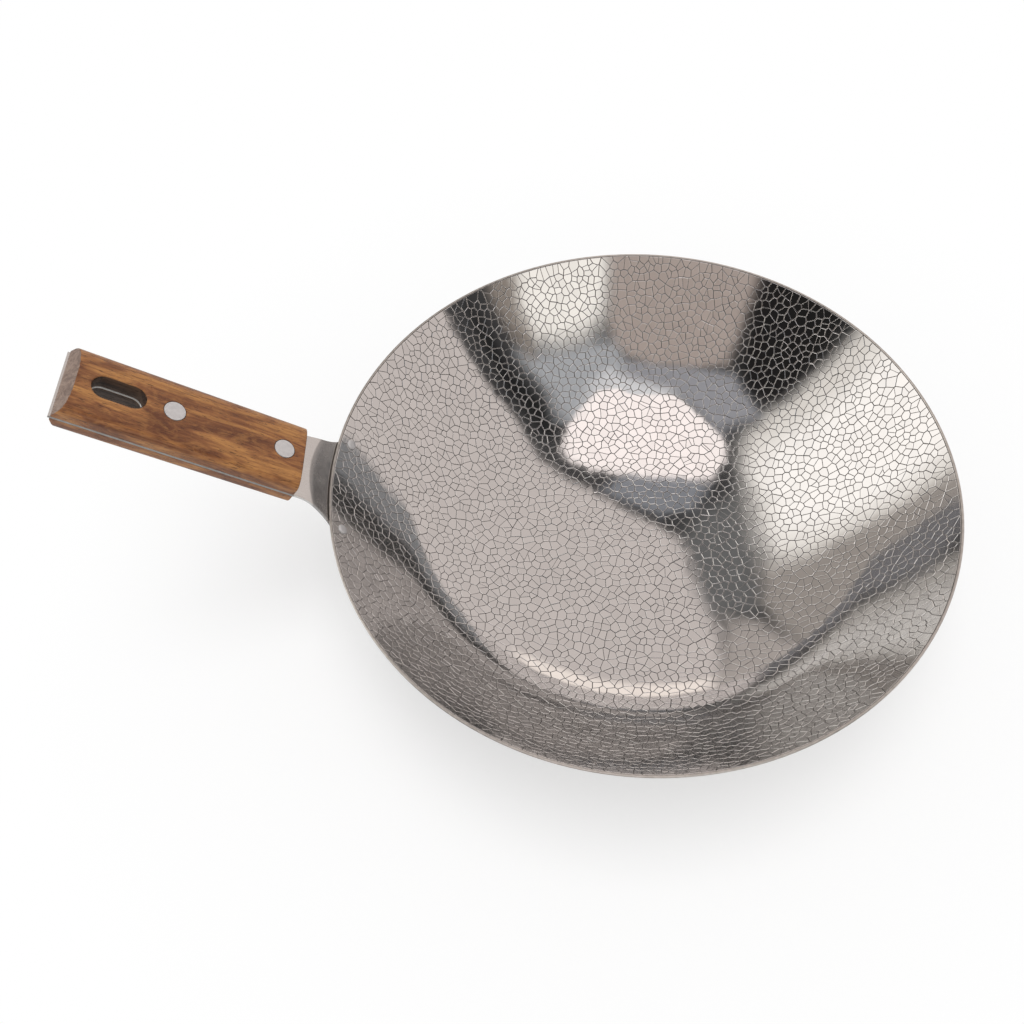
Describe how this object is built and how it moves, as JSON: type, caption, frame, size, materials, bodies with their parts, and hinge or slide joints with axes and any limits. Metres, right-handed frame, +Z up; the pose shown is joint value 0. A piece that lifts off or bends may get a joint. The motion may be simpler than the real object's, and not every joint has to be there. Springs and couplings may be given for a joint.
{
  "type": "stir fry pan",
  "caption": "Round-bottomed steel stir fry pan with a flat base, a crackle-grooved inside and a short riveted wooden handle that rises from the rim and has a hanging slot.",
  "frame": {"origin": "centre of the flat base's underside, on the bowl's axis", "axes": "+Z up along the bowl's axis, the handle points along -X"},
  "size_m": [0.3746, 0.28, 0.1383],
  "materials": {
    "bowl_steel": "bright, crackle-grooved inside",
    "bracket_steel": "satin",
    "handle_wood": "oiled, streaky brown grain",
    "rivet_alloy": "flat satin"
  },
  "bodies": {
    "root": {"bowl": "bowl_steel", "bracket": "bracket_steel", "bowl_rivet_near": "rivet_alloy", "bowl_rivet_far": "rivet_alloy", "upper_scale": "handle_wood", "lower_scale": "handle_wood", "rivet_front_cap": "rivet_alloy", "rivet_front_pin": "rivet_alloy", "rivet_rear_cap": "rivet_alloy", "rivet_rear_pin": "rivet_alloy"}
  },
  "joints": []
}
